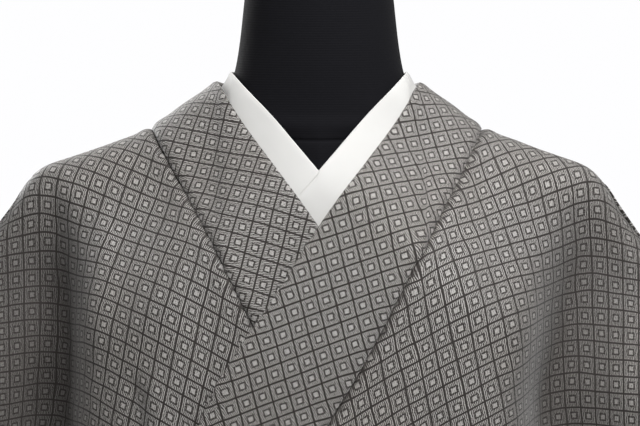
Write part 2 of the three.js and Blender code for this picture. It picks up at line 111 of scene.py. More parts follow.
# Crowded grid lines: place, width and strength of each crowd across a piece
BODY_CROWDS = (0, 0.05, 2), (0.6, 0.25, 1)
OKUMI_CROWDS = (0, 0.06, 2), (1, 0.06, 2)
SLEEVE_CROWDS = ((0, 0.04, 2),)
COLLAR_CROWDS = (0, 0.06, 2), (1, 0.05, 2)
INNER_CROWDS = ((1, 0.06, 1),)

# Fades: where each starts and where it ends, as a height, a distance or a share
HEM_FADE = (1000, 400)
ARM_FADE = (95, 225)
TUBE_FADE = (1300, 1110)
ARM_PAINTED_SHADE_TOP = (1478, 1378)
ARM_PAINTED_SHADE_FOOT = (900, 1150)
STRETCH_OUT = (76, 122)
STRETCH_UP = (1150, 1300)
OVERLAP_DOWN = (1500, 1440)
OVERLAP_OUT = (138, 168)
UNDERLAP_DOWN = (1266, 1106)
BACK_SLOPE_UP = (1200, 1460)
BACK_SLOPE_OUT = (0, 140)
SIDE_SLOPE_OUT = (-14, 30)
SLOPE_UP = (1085, 1250)
FOLD_START = (-0.18, 0.22)
FOLD_END = (1.18, 0.78)
FOLDS_OUT = (290, 260)
FOLDS_EDGE = (1, 0.86)
SHADE_UP = (1100, 1160)
FREE_EDGE_UP = (760, 780)
INNER_UNDER_DOWN = (1520, 1470)
INNER_RISE_UP = (1495, 1525)

RIDGE_ROWS = [
    (0, 1600, 4, 40, 38, 60), (40, 1567, 4, 40, 38, 60), (69, 1541, 4, 40, 38, 60),
    (76, 1530.5, 5, 40, 38, 60), (100, 1512, 6, 39, 38, 60), (122, 1496, 7, 38, 38, 60),
    (151, 1485, 7, 38, 38, 58), (179, 1475, 6, 35, 36, 55), (200, 1467, 5, 31, 34, 53),
    (212, 1457, 4, 28, 33, 52), (226, 1436, 3, 25, 32, 50), (260, 1388, -2, 20, 30, 46),
    (300, 1333, -8, 16, 26, 38), (350, 1258, -11, 14, 24, 28), (400, 1165, -13, 13, 23, 24),
    (452, 1025, -14, 12, 22, 22),
]
CHEST_ROWS = [
    (1280, 118, 104), (1300, 118, 106), (1360, 114, 108), (1420, 104, 106), (1460, 96, 103),
    (1510, 84, 100), (1600, 72, 98),
]
TUBE_ROWS = [
    (40, 170, 122, 114), (400, 173, 122, 115), (700, 176, 121, 116), (900, 176, 118, 115),
    (960, 171, 112, 107), (1005, 160, 98, 88), (1040, 152, 93, 77.5), (1070, 150, 92, 76),
    (1100, 152, 93, 77.5), (1135, 162, 101, 84), (1190, 177, 110, 92),
    (1300, 190, 118, 100),
]
ARMPIT_ROWS = [
    (1150, 22, 180, 172), (1230, 36, 181, 168), (1290, 42, 183, 167), (1330, 39, 182, 176),
    (1380, 30, 185, 188), (1420, 17, 191, 199), (1465, 0, 200, 206),
]
# Collar seam and collar edge by row, then the heights of the inner edge further down
FRONT_ROWS = [
    (122, 1496, 76, 1530.5), (106, 1464, 56.5, 1499), (91, 1435, 34.5, 1469),
    (75, 1404, 13, 1440), (60, 1374, -7, 1411), (44, 1343, -26, 1380),
    (28, 1314, -45, 1352), (13, 1289, -61, 1329), (0, 1266, -74, 1306),
]
BACK_ROWS = [
    (122, 1496, 76, 1530.5), (93, 1487, 58, 1527), (62, 1480, 38, 1528),
    (31, 1476, 19, 1529), (0, 1475, 0, 1530),
]
LOWER_FRONT = [1215, 1165, 1120, 1095, 1070, 1045, 1000, 940, 850, 680, 470, 250, 40]
LOWER_BACK = [1450, 1420, 1382, 1340, 1262, 1190, 1125, *LOWER_FRONT[3:]]
# Outer edge and bulge of a body panel, row by row, the same in front and behind
SIDE_ROWS = [
    (300, 1333, 1), (289, 1317, 0.95), (277, 1301, 0.85), (264, 1284, 0.75),
    (251, 1266, 0.65), (239, 1247, 0.55), (227, 1227, 0.45), (216, 1206, 0.36),
    (206, 1185, 0.28), (192, 1150, 0.15), (172, 1124, 0.05), (153, 1105, 0),
    (151.5, 1092, 0), (150, 1070, 0), (151.5, 1045, 0), (161, 1000, 0), (173, 940, 0),
    (176, 850, 0), (176, 680, 0), (174, 470, 0), (172, 250, 0), (170, 40, 0),
]
OVERLAP_ROWS = [
    (-17, 1231, -92, 1266), (-36, 1188, -109, 1213), (-54, 1140, -124, 1158),
    (-68, 1095, -131, 1105), (-75, 1070, -135, 1077), (-81, 1045, -139, 1050),
    (-91, 1000, -150, 1006), (-106, 930, -163, 938), (-122, 850, -170, 859),
    (-136, 770, -173, 780),
]
FREE_EDGE_ROWS = [(-138, 680), (-140, 470), (-140, 250), (-139, 40)]
INNER_FRONT_ROWS = [
    (69, 1541), (55, 1526), (37, 1507.5), (18, 1486), (-1, 1464), (-20, 1442), (-40, 1419),
]
INNER_BACK_ROWS = [
    (103, 1509.5, 69, 1541), (80, 1503, 57, 1541.5), (45, 1500, 32, 1542),
    (0, 1499, 0, 1542),
]
WRIST_ROWS = [
    (0, 452, 1025), (0.25, 436, 915), (0.5, 412, 805), (0.75, 384, 695), (1, 352, 588),
]
SLEEVE_EDGE_ROWS = [(192, 1150), (194, 1108), (198, 1050), (203, 975), (208, 900)]
FORM_ROWS = [
    (800, 152, 94, 90, 0, 2.2), (830, 156, 99, 94, 0, 2.2), (900, 158, 102, 96, 0, 2.2),
    (960, 152, 96, 86, 0, 2.2), (1070, 128, 74, 60, 0, 2.2), (1180, 140, 88, 72, 0, 2.2),
    (1300, 150, 98, 86, 0, 2.2), (1370, 156, 94, 86, 0, 2), (1410, 166, 84, 82, 1, 1.7),
    (1440, 184, 74, 76, 3, 1.4), (1456, 196, 68, 70, 4, 1.25), (1465, 192, 65, 67, 5, 1.2),
    (1473, 173, 63, 64, 5, 1.2), (1481, 152, 61, 62, 5, 1.25), (1489, 131, 58, 60, 4, 1.35),
    (1497, 108, 56, 58, 3, 1.6), (1507, 84, 52, 54, 2, 1.85), (1520, 70, 50, 51, 1, 2),
    (1547, 61.5, 49, 49, 0, 2), (1592, 56, 48, 49, 0, 2), (1632, 52, 46, 48, 0, 2),
    (1644, 48, 42, 44, 0, 2), (1650, 38, 33, 35, 0, 2),
]

# Folds: from point, to point (across, height), depth, width. Minus rises.
CHEST_FOLDS_LEFT = [
    (150, 1440, 118, 1300, 2.2, 17), (196, 1420, 182, 1290, -2.0, 13),
    (100, 1400, 60, 1290, 1.2, 16), (222, 1400, 205, 1270, 2.0, 12),
    (120, 1470, 175, 1440, 1.0, 10), (60, 1250, 130, 1100, 4.0, 14),
    (100, 1235, 146, 1112, -3.4, 11), (20, 1215, 80, 1098, 3.4, 12),
]
CHEST_FOLDS_RIGHT = [
    (156, 1430, 160, 1330, -3.0, 11), (134, 1312, 128, 1262, 2.6, 7),
    (120, 1310, 112, 1255, -1.6, 8), (104, 1405, 70, 1300, 1.4, 16),
    (205, 1410, 196, 1290, 2.2, 12), (126, 1468, 170, 1446, 1.0, 10),
    (70, 1255, 128, 1100, 3.8, 13), (112, 1230, 150, 1110, -3.0, 10),
    (30, 1210, 84, 1098, 3.2, 12),
]
BACK_FOLDS = [
    (20, 1430, 60, 1250, 1.6, 20), (110, 1430, 90, 1240, 2.4, 16),
    (170, 1400, 150, 1220, 3.2, 13), (40, 1230, 66, 1098, 3.6, 12),
    (88, 1240, 104, 1098, -3.0, 11), (126, 1230, 138, 1108, 3.4, 10),
]
SKIRT_FOLDS = [
    (20, 1040, 30, 820, 3.0, 10), (62, 1042, 84, 760, 4.0, 12),
    (104, 1040, 128, 700, 3.4, 12), (138, 1036, 158, 640, 4.0, 10),
    (60, 700, 66, 120, -3.2, 20), (118, 760, 112, 60, 3.6, 18),
]
SLEEVE_FOLDS = [
    (306, 1240, 262, 1010, 5.0, 14), (330, 1215, 352, 900, -4.2, 17),
    (268, 1180, 226, 1000, 4.6, 12), (366, 1130, 392, 880, 4.4, 15),
    (420, 1040, 396, 820, -3.2, 13), (300, 1010, 318, 780, 3.8, 15),
    (244, 1060, 236, 930, -3.0, 12),
]
# Slow waves in the cloth: size in mm, and turn per mm across and up
UNEVEN_WAVES = [
    (1.0, 0.0191, 0.0122), (0.8, -0.0263, 0.0171), (0.6, 0.0412, 0.0307),
    (0.4, 0.071, -0.043),
]


class Curve:
    """Smooth curve through the rows of a short table, without overshoot."""

    def __init__(self, xs, ys):
        self.x, self.y = np.array(xs, float), np.array(ys, float)
        slope = np.diff(self.y) / np.diff(self.x)
        before, after = slope[:-1], slope[1:]
        total = np.where(before * after > 0, before + after, 1.0)
        inner = np.where(before * after > 0, 2 * before * after / total, 0.0)
        self.tangent = np.concatenate((slope[:1], inner, slope[-1:]))

    def __call__(self, at):
        at = np.clip(at, self.x[0], self.x[-1])
        i = np.clip(np.searchsorted(self.x, at, side="right") - 1, 0, len(self.x) - 2)
        width = self.x[i + 1] - self.x[i]
        t = (at - self.x[i]) / width
        start = (1 + 2 * t) * (1 - t) ** 2 * self.y[i]
        start += t * (1 - t) ** 2 * width * self.tangent[i]
        end = t * t * (3 - 2 * t) * self.y[i + 1]
        end += t * t * (t - 1) * width * self.tangent[i + 1]
        return start + end


def curves(names, rows):
    """Named columns as curves over the first column."""
    columns = list(zip(*rows))
    return {name: Curve(columns[0], column) for name, column in zip(names.split(), columns)}


def row_curves(names, rows):
    """Named columns as curves over the row number."""
    numbers = range(len(rows))
    return {name: Curve(numbers, column) for name, column in zip(names.split(), zip(*rows))}


def smooth(t):
    c = np.clip(t, 0, 1)
    return c * c * (3 - 2 * c)


def fade(value, span):
    """0 before the span's start and 1 past its end."""
    return smooth((value - span[0]) / (span[1] - span[0]))


def mix(start, end, t):
    return start + (end - start) * t


def bell(offset, width):
    return np.exp(-((offset / width) ** 2))


def stacked(*columns):
    return np.stack(np.broadcast_arrays(*columns), -1)


RIDGE = curves("out height y thickness round depth", RIDGE_ROWS)
CHEST = curves("height front back", CHEST_ROWS)
TUBE = curves("height half front back", TUBE_ROWS)
ARMPIT = curves("height depth right_out left_out", ARMPIT_ROWS)
WRIST = curves("along x z", WRIST_ROWS)
FORM = curves("height half front back middle power", FORM_ROWS)
OKUMI_START = FRONT_ROWS[-1][1]
SHOULDER_STATIONS = len(FRONT_ROWS) - 1


def okumi_seam(height):
    """Where the okumi seam runs: a straight slope, then straight down."""
    share = np.clip((OKUMI_START - height) / (OKUMI_START - OKUMI_KNEE), 0, 1)
    return -OKUMI_OFFSET * share


def panel_curves(inner):
    """Both edges and the bulge of a body panel, as curves over the row number."""
    rows = [(*edge, *side) for edge, side in zip(inner, SIDE_ROWS)]
    return row_curves("in_x in_z out_x out_z bulge", rows)


def band_curves(rows):
    return row_curves("low_x low_z edge_x edge_z", rows)


def inner_collar_rows():
    """Front rows of the inner collar: its edge is listed, and its width lies below that."""
    run = INNER_COLLAR_WIDTH * math.cos(INNER_COLLAR_TILT)
    fall = INNER_COLLAR_WIDTH * math.sin(INNER_COLLAR_TILT)
    top = INNER_BACK_ROWS[0][1]
    return [(x + run, min(z - fall, top), x, z) for x, z in INNER_FRONT_ROWS]


FRONT = panel_curves([r[:2] for r in FRONT_ROWS] + [(float(okumi_seam(z)), z) for z in LOWER_FRONT])
BACK = panel_curves([r[:2] for r in BACK_ROWS] + [(0, z) for z in LOWER_BACK])
COLLAR_FRONT = band_curves(FRONT_ROWS + OVERLAP_ROWS)
COLLAR_BACK = band_curves(BACK_ROWS)
INNER_FRONT = band_curves(inner_collar_rows())
INNER_BACK = band_curves(INNER_BACK_ROWS)


def facing(table, face, height):
    """The table's front or back column: face -1 is the front, 1 the back."""
    return np.where(face < 0, table["front"](height), table["back"](height))


def tube_depth(face, x, height):
    """Depth of the cloth below the chest, where it hangs as one oval tube."""
    ratio = np.minimum(np.abs(x) / TUBE["half"](height), 1)
    shape = (1 - ratio**TUBE_POWER) ** (1 / TUBE_POWER)
    size, wave, turn = HEM_RIPPLE
    ripple = size * fade(height, HEM_FADE) * np.cos(x / wave + turn * face)
    return np.maximum(shape * (facing(TUBE, face, height) + ripple), TUBE_LEAST_DEPTH)


def valley(side, height):
    """How far out the fold beside the arm lies."""
    return np.where(side < 0, ARMPIT["right_out"](height), ARMPIT["left_out"](height))


def armpit_dip(face, side, out, height):
    sharp, soft, outer = ARMPIT_WIDTHS
    past = out - valley(side, height)
    width = np.where(past < 0, np.where(side * face > 0, sharp, soft), outer)
    share = np.where(face < 0, 1, ARMPIT_BACK_SHARE)
    return share * ARMPIT["depth"](height) * np.exp(-0.5 * (past / width) ** 2)


def rounded(out):
    """Distance from the middle, eased so that the nape has no crease."""
    share = np.minimum(out / NAPE_WIDTH, 1)
    return np.where(share < 1, NAPE_WIDTH * share**2 * (2 - share), out)


def cloth_y(face, side, across, height):
    """Distance of the cloth from the middle plane."""
    out = np.abs(across)
    top = RIDGE["height"](np.where(face > 0, rounded(out), out))
    drop = np.maximum(top - height, 0)
    thickness = RIDGE["thickness"](out)
    arch = np.sqrt(1 - (1 - np.minimum(drop / RIDGE["round"](out), 1)) ** 2)
    full = mix(facing(CHEST, face, height), RIDGE["depth"](out), fade(out, ARM_FADE))
    outward = thickness * arch + (full - thickness) * smooth(drop / ARCH_HEIGHT)
    upper = RIDGE["y"](out) + face * (outward - armpit_dip(face, side, out, height))
    lower = face * tube_depth(face, side * across, height)
    return mix(upper, lower, fade(height, TUBE_FADE))


def painted_shade(face, side, out, height):
    """Painted shade in the soft dip beside the arm, from 0 to 1, by how far the cloth lies in it.
    """
    inner, outer, strength = ARM_PAINTED_SHADE_RIGHT if side < 0 else ARM_PAINTED_SHADE_LEFT
    past = out - valley(side, height)
    share = fade(height, ARM_PAINTED_SHADE_TOP) * fade(height, ARM_PAINTED_SHADE_FOOT)
    share = share * np.where(face < 0, strength, ARM_PAINTED_SHADE_BACK_SHARE)
    return share * bell(past, np.where(past < 0, inner, outer))


def stretched_x(side, across, height):
    """The wearer's right shoulder is a little wider, as in the photograph."""
    grow = RIGHT_STRETCH * fade(across, STRETCH_OUT) * fade(height, STRETCH_UP)
    return side * across * (1 + np.where(side < 0, grow, 0))


def cloth_points(face, side, across, height):
    z = np.minimum(height, RIDGE["height"](np.abs(across)))
    x = stretched_x(side, across, z)
    return stacked(x, cloth_y(face, side, across, z), z)


def overlap_lift(face, side, across, height):
    """How far the upper front layer lies over the lower one."""
    lift = LAYER_STEP * fade(height, OVERLAP_DOWN) * (1 - fade(across, OVERLAP_OUT))
    return np.where((side > 0) & (face < 0), lift, 0)


def underlap(side, height):
    """Share of its width that the lower front layer keeps."""
    return np.where(side < 0, mix(1, UNDERLAP_SHARE, fade(height, UNDERLAP_DOWN)), 1)


def arch_index(t):
    """Station number for a row number, with close rows round the ridge."""
    return np.where(t < 1, 1 - np.cos(np.minimum(t, 1) * math.pi / 2), t)


def even_steps(t, sizes, count=None):
    """Values of t that share out the sizes between them evenly."""
    total = np.concatenate(([0], np.cumsum(sizes)))
    return np.interp(np.linspace(0, total[-1], count or round(total[-1]) + 1), total, t)


def paced(low, high, step_at, samples=4001):
    """Values from low to high that lie the wanted steps apart."""
    t = np.linspace(low, high, samples)
    return even_steps(t, np.diff(t) / step_at((t[1:] + t[:-1]) / 2))


def cloth_grid(spots_at, reach, steps, middle, shares):
    """Spots and points of a piece whose rows lie the wanted steps apart at the middle share."""
    t = np.linspace(-reach, reach, 4001)
    points = cloth_points(*spots_at(t, np.array([middle])))[:, 0]
    lengths = np.linalg.norm(np.diff(points, axis=0), axis=1)
    heights = (points[1:, 2] + points[:-1, 2]) / 2
    spots = spots_at(even_steps(t, lengths / steps(heights)), shares)
    return spots, cloth_points(*spots)


def crowded(count, spots):
    """Shares from 0 to 1 that crowd round each listed place, width and strength."""
    t = np.linspace(0, 1, 2001)
    density = 1 + sum(size * bell(t - place, width) for place, width, size in spots)
    return even_steps(t, (density[1:] + density[:-1]) / 2, count)


def unit(vectors):
    return vectors / np.maximum(np.linalg.norm(vectors, axis=2, keepdims=True), 1e-9)


def grid_normals(points, sign):
    return unit(np.cross(np.gradient(points, axis=1), np.gradient(points, axis=0)) * sign)


def fold(across, height, rows):
    """Soft troughs and rises along the listed lines, as a lift."""
    total = np.zeros(np.broadcast(across, height).shape)
    for x0, z0, x1, z1, depth, width in rows:
        run, rise = x1 - x0, z1 - z0
        length = math.hypot(run, rise)
        t = ((across - x0) * run + (height - z0) * rise) / length**2
        off = ((across - x0) * rise - (height - z0) * run) / length
        bend = 0.16 * width * np.sin(t * 5 + depth)
        off = (off + bend) / (width * (0.75 + 0.5 * np.clip(t, 0, 1)))
        ends = fade(t, FOLD_START) * fade(t, FOLD_END)
        total -= depth * ends * (1 - 0.45 * off**2) * np.exp(-0.5 * off**2)
    return total


def uneven(points, seed):
    """Slow, low unevenness of hanging cloth."""
    x, y, z = (points[..., k] for k in range(3))
    total = 0
    for size, across, up in UNEVEN_WAVES:
        total = total + size * np.sin(x * across + (z + 0.6 * y) * up + seed * 40 * (across + up))
    return total


def seam_relief(distance, along, seed, depth, pucker):
    """Ditch along a seam and the small puckers that its stitches pull in the cloth beside it."""
    ditch = 0.35 * depth * bell(distance - 7, 5) - depth * bell(distance, 2.6)
    beat = np.sin(along / 4.6 + 2.1 * np.sin(along / 23 + seed)) * np.sin(along / 31 + 1.7 * seed)
    small = 0.5 * np.sin(along / 2.3 + 1.3 * np.sin(along / 11 + seed))
    return ditch + pucker * (beat + small) * np.exp(-distance / 8) * smooth(distance / 1.5)


def seam_shade(distance, along, seed):
    """Uneven painted shade in the cleft beside a seam, from 0 to 1."""
    patchy = 0.62 + 0.38 * np.sin(along / 2.0 + 1.2 * np.sin(along / 17 + seed))
    return bell(distance - 0.8, 3.6) * patchy


def lengths_along(points, axis):
    steps = np.linalg.norm(np.diff(points, axis=axis), axis=2)
    return np.concatenate((np.zeros_like(np.take(steps, [0], axis)), np.cumsum(steps, axis)), axis)


def flat_cloth(points, guide=None, rows=90, columns=14):
    """Cloth coordinates of a grid: the weft follows the guide, and lengths are kept."""
    size = points.shape[:2]
    keep = [
        np.unique(np.linspace(0, n - 1, min(n, k)).round().astype(int))
        for n, k in zip(size, (rows, columns))
    ]
    coarse = points[np.ix_(*keep)]
    normals = grid_normals(coarse, 1)
    weft = np.gradient(coarse, axis=1) if guide is None else guide[np.ix_(*keep)]
    weft = unit(weft - normals * np.sum(weft * normals, 2, keepdims=True))
    warp = np.cross(normals, weft)
    number = np.arange(coarse.shape[0] * coarse.shape[1]).reshape(coarse.shape[:2])
    pairs = (number[:, :-1], number[:, 1:]), (number[:-1], number[1:])
    first, second = (np.concatenate([pair[k].ravel() for pair in pairs]) for k in (0, 1))
    p, w, a = (v.reshape(-1, 3) for v in (coarse, weft, warp))
    edge = p[second] - p[first]
    goal = np.stack([np.sum(edge * (d[first] + d[second]) / 2, 1) for d in (w, a)], 1)
    pull = 1 / np.maximum(np.linalg.norm(edge, axis=1), 0.5)
    matrix = np.zeros((len(p), len(p)))
    right = np.zeros((len(p), 2))
    for near, far, sign in ((first, second, -1), (second, first, 1)):
        np.add.at(matrix, (near, near), pull)
        np.add.at(matrix, (near, far), -pull)
        np.add.at(right, near, sign * goal * pull[:, None])
    matrix[0, 0] += 1
    flat = np.linalg.solve(matrix, right).reshape(*coarse.shape[:2], 2)
    numbers = [np.arange(len(k)) for k in keep]
    down, over = (np.interp(np.arange(n), k, i) for n, k, i in zip(size, keep, numbers))
    wide = np.stack(
        [[Curve(numbers[0], flat[:, j, k])(down) for j in numbers[1]] for k in range(2)], 2
    )
    return np.stack(
        [[Curve(numbers[1], wide[:, i, k])(over) for i in range(size[0])] for k in range(2)], 2
    )


def make_piece(
    node, points, cloth, shader, thickness=0, ring=False, shade=None, ending="_cloth"
):
    """One piece that stands for a node: a grid of points in millimetres, facing outwards."""
    rows, columns = points.shape[:2]
    mesh = bmesh.new()
    bmesh.ops.create_grid(mesh, x_segments=columns - 1, y_segments=rows - 1, size=1)
    # Each point keeps its painted shade, which darkens the cloth's colour
    painted_shade_layer = mesh.verts.layers.float.new(PAINTED_SHADE_NAME)
    spots = {}
    for vert in mesh.verts:
        i = round((vert.co.y + 1) / 2 * (rows - 1))
        j = round((vert.co.x + 1) / 2 * (columns - 1))
        spots[vert] = (i, j)
        vert[painted_shade_layer] = 0 if shade is None else shade[i, j]
    for vert, (i, j) in spots.items():
        vert.co = points[i, j] * METRE
    if cloth is not None:
        layer = mesh.loops.layers.uv.new(UV_NAME)
        for face in mesh.faces:
            for loop in face.loops:
                loop[layer].uv = cloth[spots[loop.vert]] * METRE
    axis = Vector()
    if ring:
        bmesh.ops.remove_doubles(mesh, verts=mesh.verts, dist=1e-6)
        bmesh.ops.dissolve_degenerate(mesh, edges=mesh.edges, dist=1e-7)
        bmesh.ops.recalc_face_normals(mesh, faces=mesh.faces)
        axis = sum((v.co for v in mesh.verts), Vector()) / len(mesh.verts)
    mesh.normal_update()
    outward = Vector((0.3, 1, 0))
    if sum(f.normal.dot((f.calc_center_median() - axis) * outward) for f in mesh.faces) < 0:
        bmesh.ops.reverse_faces(mesh, faces=mesh.faces)
    for face in mesh.faces:
        face.smooth = True
    piece = add_object(node + ending, mesh, shader)
    if thickness:
        solid = piece.modifiers.new("Cloth thickness", "SOLIDIFY")
        solid.thickness = thickness
        solid.offset = 0
    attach(piece, BODY)
    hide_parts(node)
    return piece


def add_object(name, mesh, shader):
    """Turn a bmesh into an object of the scene."""
    data = bpy.data.meshes.new(name)
    mesh.to_mesh(data)
    mesh.free()
    data.materials.append(shader)
    made = bpy.data.objects.new(name, data)
    bpy.context.scene.collection.objects.link(made)
    return made


# The lattice in shares of half a cell, from the middle: dark line, dashes and dark ring
LINE_STEP = (0.862, 0.905)
DASH_BAND = (0.5, 0.86)
RING_BAND = (0.27, 0.48)
STROKE_STEP = (0.1, 0.34)
SPECKLE = 1.4
WANDER = 0.0011


def operation(name, swapped=False):
    """A method that feeds two values into a maths node."""

    def method(self, other):
        return self.graph.math(name, *((other, self) if swapped else (self, other)))

    return method


class Value:
    """A shader value that takes part in ordinary arithmetic."""

    def __init__(self, graph, socket):
        self.graph, self.socket = graph, socket

    __add__ = __radd__ = operation("ADD")
    __sub__ = operation("SUBTRACT")
    __rsub__ = operation("SUBTRACT", True)
    __mul__ = __rmul__ = operation("MULTIPLY")
    __truediv__ = operation("DIVIDE")


class Graph:
    """The node tree of one material, built from expressions."""

    def __init__(self, name):
        self.material = bpy.data.materials.new(name)
        self.material.use_nodes = True
        self.tree = self.material.node_tree
        self.shader = next(n for n in self.tree.nodes if n.type == "BSDF_PRINCIPLED")
        self.sizes = bpy.context.scene.kimono_sizes
        self.colours = bpy.context.scene.kimono_colours

    def node(self, kind, settings=None, inputs=None, output=0):
        made = self.tree.nodes.new(kind)
        for key, value in (settings or {}).items():
            setattr(made, key, value)
        for key, value in (inputs or {}).items():
            self.feed(made.inputs[key], value)
        return Value(self, made.outputs[output])

    def feed(self, socket, value):
        if isinstance(value, Value):
            self.tree.links.new(value.socket, socket)
        else:
            socket.default_value = value

    def set(self, **inputs):
        for key, value in inputs.items():
            self.feed(self.shader.inputs[key.replace("_", " ")], value)

    def math(self, operation, *values):
        return self.node("ShaderNodeMath", {"operation": operation}, dict(enumerate(values)))

    def step(self, value, low, high):
        inputs = {"Value": value, "From Min": low, "From Max": high}
        return self.node("ShaderNodeMapRange", {"interpolation_type": "SMOOTHSTEP"}, inputs)

    def band(self, value, low, high, soft=0.03):
        rise = self.step(value, low - soft, low + soft)
        return rise * (1 - self.step(value, high - soft, high + soft))

    def blend(self, share, first, second):
        inputs = {0: share, 6: first, 7: second}
        return self.node("ShaderNodeMix", {"data_type": "RGBA"}, inputs, 2)

    def mottled(self, share, colour, other):
        """A colour that turns, by a share, into that colour times the other factor."""
        return self.blend(share, plain(colour), plain([c * other for c in colour]))

    def parts(self, place, count):
        return [self.node("ShaderNodeSeparateXYZ", None, {0: place}, k) for k in range(count)]

    def cloth_uv(self):
        place = self.node("ShaderNodeUVMap", {"uv_map": UV_NAME})
        return self.parts(place, 2), place

    def object_place(self):
        return self.node("ShaderNodeTexCoord", None, None, "Object")

    def noise(self, place, scale, detail=2.0):
        return self.node(
            "ShaderNodeTexNoise", None, {"Vector": place, "Scale": scale, "Detail": detail}
        )

    def bump(self, height, distance, strength):
        inputs = {"Strength": strength, "Distance": distance, "Height": height}
        return self.node("ShaderNodeBump", None, inputs)


def plain(colour):
    return (*colour[:3], 1.0)


def lattice_weave(name, across, up):
    """Cloth with a lattice of rhombi, each with rings of dashes that slant by the two shares."""
    g = Graph(name)
    (u, v), place = g.cloth_uv()
    u, v = (c + (g.noise(place, scale) - 0.5) * WANDER for c, scale in ((u, 24.0), (v, 31.0)))
    weft, warp = u / g.sizes.lattice_weft, v / g.sizes.lattice_warp
    sides = [g.math("ABSOLUTE", g.math("FRACT", s) - 0.5) for s in (weft + warp, weft - warp)]
    ring = g.math("MAXIMUM", *sides) * 2
    line = g.step(ring, *LINE_STEP)
    slant = (u * across + v * up) / g.sizes.thread_pitch
    stroke = g.math("FRACT", slant + g.noise(place, 420.0, 1.0) * 1.1)
    stroke = g.step(g.math("ABSOLUTE", stroke - 0.5), *STROKE_STEP)
    dashes = g.band(ring, *DASH_BAND)
    tone = 0.99 - g.band(ring, *RING_BAND) * 0.74
    tone = tone - dashes * (stroke * 1.05 - 0.08) - (1 - dashes) * stroke * 0.36
    tone = tone + (g.noise(place, 900.0, 1.0) - 0.5) * SPECKLE
    tone = g.step(tone * (1 - line) + line * 0.02, 0.0, 1.0)
    warm = g.step(g.noise(place, 9.0, 3.0), 0.3, 0.7)
    light = g.blend(warm, plain(g.colours.cloth_light), plain(g.colours.cloth_light_warm))
    # Painted shade: the points' darkness beside the arms and in the seam clefts darkens the colour
    painted_shade_mask = g.node("ShaderNodeAttribute", {"attribute_name": PAINTED_SHADE_NAME}, None, "Fac")
    share = tone * (1 - painted_shade_mask * g.sizes.hollow_shade)
    g.set(
        Base_Color=g.blend(share, plain(g.colours.cloth_dark), light),
        Roughness=0.62 + (1 - tone) * 0.16,
        Normal=g.bump(tone * 0.5 + stroke * 0.5, 0.00022, 0.7),
        Sheen_Weight=0.18,
        Sheen_Roughness=0.45,
        Specular_IOR_Level=0.35,
    )
    return g.material


def body_weave():
    return lattice_weave("body_weave", 0.73, 0.68)


def band_weave():
    return lattice_weave("band_weave", 0.53, -0.85)


def collar_weave():
    """Plain white collar cloth with a fine even weave."""
    g = Graph("collar_weave")
    (u, v), place = g.cloth_uv()
    weave = g.math("SINE", u * 9000) * g.math("SINE", v * 9000)
    g.set(
        Base_Color=g.mottled(g.noise(place, 30.0), g.colours.inner_collar, 0.95),
        Roughness=0.7 + weave * 0.05,
        Normal=g.bump(weave + g.noise(place, 70.0) * 3, 0.00012, 0.5),
        Sheen_Weight=0.1,
        Specular_IOR_Level=0.3,
    )
    return g.material


def tie_weave():
    """Plain ribbed cloth of the waist tie."""
    g = Graph("tie_weave")
    (u, v), place = g.cloth_uv()
    rib = g.math("SINE", v * 5200)
    g.set(
        Base_Color=g.mottled(g.noise(place, 60.0, 3.0), g.colours.tie, 0.7),
        Roughness=0.72 + rib * 0.05,
        Normal=g.bump(rib + g.math("SINE", u * 7000) * 0.4, 0.0002, 0.6),
        Sheen_Weight=0.2,
    )
    return g.material


def form_jersey():
    """Black stretched jersey of the dress form, with a fine knit."""
    g = Graph("form_jersey")
    place = g.object_place()
    x, y, z = g.parts(place, 3)
    angle = g.math("ARCTAN2", y, x)
    knit = g.math("SINE", angle * 420) * 0.5 + g.math("SINE", z * 5000) * 0.5
    g.set(
        Base_Color=g.mottled(g.noise(place, 14.0, 3.0), g.colours.form, 0.72),
        Roughness=0.78 + knit * 0.06,
        Normal=g.bump(knit + g.noise(place, 300.0), 0.00016, 0.5),
        Sheen_Weight=0.02,
        Sheen_Roughness=0.5,
        Specular_IOR_Level=0.05,
    )
    return g.material


def stand_coat():
    """Dark powder-coated metal."""
    g = Graph("stand_coat")
    place = g.object_place()
    wear = g.noise(place, 16.0, 4.0)
    g.set(
        Base_Color=g.mottled(wear, g.colours.metal, 1.5),
        Metallic=0.6,
        Roughness=0.36 + wear * 0.2,
        Normal=g.bump(g.noise(place, 700.0), 0.0001, 0.5),
    )
    return g.material


def floor_paint():
    """Pale matt studio floor."""
    g = Graph("floor_paint")
    place = g.object_place()
    g.set(
        Base_Color=g.mottled(g.noise(place, 1.5, 3.0), g.colours.floor, 0.96),
        Roughness=0.8,
        Normal=g.bump(g.noise(place, 160.0), 0.0004, 0.3),
        Emission_Color=plain(g.colours.floor),
        Emission_Strength=g.sizes.floor_glow,
    )
    return g.material


def shared(maker):
    """The maker's material, made once."""
    return bpy.data.materials.get(maker.__name__) or maker()


def read_rows(front, back, ahead, index):
    """Every named column at the row numbers, from the front's curves or the back's."""
    return {name: np.where(ahead, front[name](index), back[name](index)) for name in front}


def body_spots(side, t, shares):
    """Face, side, across and height of a body panel: rows below 0 are in front, above 0 behind."""
    t = t[:, None]
    front = t < 0
    index = arch_index(np.abs(t))
    row = read_rows(FRONT, BACK, front, index)
    lower = front & (index > SHOULDER_STATIONS)
    row["in_x"] = np.where(lower, okumi_seam(row["in_z"]), row["in_x"])
    closed = np.maximum(row["out_x"], TUBE["half"](row["out_z"]))
    row["out_x"] = np.where(row["out_z"] < SIDE_SEAM_TOP, closed, row["out_x"])
    share = mix(np.sin(shares * math.pi / 2), shares, smooth(row["bulge"] / 0.2))
    over = mix(FRONT_ROWS[0][0], SIDE_ROWS[0][0], share)
    chord = mix(FRONT_ROWS[0][1], SIDE_ROWS[0][1], share)
    across = mix(row["in_x"] + SEAM_GAP, row["out_x"], share)
    height = mix(row["in_z"], row["out_z"], share) + row["bulge"] * (RIDGE["height"](over) - chord)
    return np.where(front, -1, 1), side, across, height


